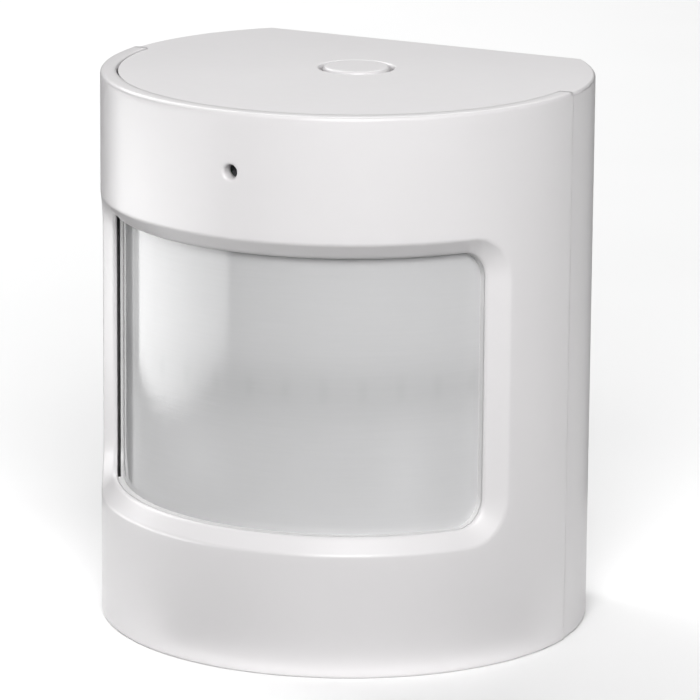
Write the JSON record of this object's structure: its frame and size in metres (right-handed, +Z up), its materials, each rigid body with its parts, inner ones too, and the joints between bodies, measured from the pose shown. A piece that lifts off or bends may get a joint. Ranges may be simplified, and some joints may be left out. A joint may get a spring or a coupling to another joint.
{
  "type": "motion sensor",
  "caption": "Small motion sensor: round-fronted case with a curved lens in a bevelled window, a status light hole, a top button and a hinged battery door at the back.",
  "frame": {"origin": "on the base, under the middle of the whole body", "axes": "+Z up, the lens looks towards -Y, the flat back is at +Y"},
  "size_m": [0.056, 0.0472, 0.0632],
  "materials": {
    "cover_plastic": "fine satin moulding",
    "housing_plastic": "fine satin moulding",
    "door_plastic": "fine satin moulding",
    "button_plastic": "smooth satin",
    "frame_plastic": "smooth gloss",
    "lens_sheet": "milky translucent gloss with fine horizontal brushing",
    "clear_plastic": "clear gloss",
    "black_plastic": "matte",
    "plunger_plastic": "satin",
    "contact_metal": "nickel plated",
    "circuit_board": "green solder mask",
    "screw_steel": "zinc plated",
    "sensor_base_metal": "plated",
    "sensor_can_metal": "drawn and plated",
    "sensor_window": "dark infrared filter",
    "module_board": "dark blue solder mask",
    "shield_metal": "tinned sheet",
    "chip_plastic": "fine grained",
    "capacitor_metal": "drawn can",
    "chip_ceramic": "fired, tinned ends",
    "led_plastic": "clear dome on white",
    "cell_wrap": "plain film wrap, plated ends",
    "spring_steel": "nickel plated wire"
  },
  "bodies": {
    "case": {"front_cover": "cover_plastic", "rear_housing": "housing_plastic", "lens_frame": "frame_plastic", "fresnel_lens": "lens_sheet", "light_pipe": "clear_plastic", "switch_body": "black_plastic", "switch_legs": "contact_metal", "main_board": "circuit_board", "board_screws": "screw_steel", "pir_sensor_base": "sensor_base_metal", "pir_sensor_can": "sensor_can_metal", "pir_sensor_window": "sensor_window", "wifi_module": "module_board", "wifi_shield": "shield_metal", "amplifier_chip": "chip_plastic", "electrolytic_capacitors": "capacitor_metal", "chip_components": "chip_ceramic", "status_led": "led_plastic", "cell_left": "cell_wrap", "cell_right": "cell_wrap", "spring_left": "spring_steel", "spring_right": "spring_steel", "contact_negative": "contact_metal", "contact_positive": "contact_metal", "contact_bridge": "contact_metal"},
    "button": {"reset_button": "button_plastic"},
    "plunger": {"switch_plunger": "plunger_plastic"},
    "door": {"battery_door": "door_plastic"}
  },
  "joints": [
    {"name": "button_press", "type": "slide", "parent": "case", "child": "button", "axis": [0, 0, -1], "range_m": [0, 0.0003], "stiffness_N_per_m": 1500, "springref_m": -0.0002},
    {"name": "plunger_press", "type": "slide", "parent": "case", "child": "plunger", "axis": [0, 0, -1], "range_m": [0, 0.0003]},
    {"name": "door_hinge", "type": "hinge", "parent": "case", "child": "door", "pos_m": [0, 0.02225, 0.0045], "axis": [-1, 0, 0], "range_deg": [0, 90]}
  ],
  "couplings": [
    {"joint": "plunger_press", "follows": "button_press", "ratio": 1}
  ]
}
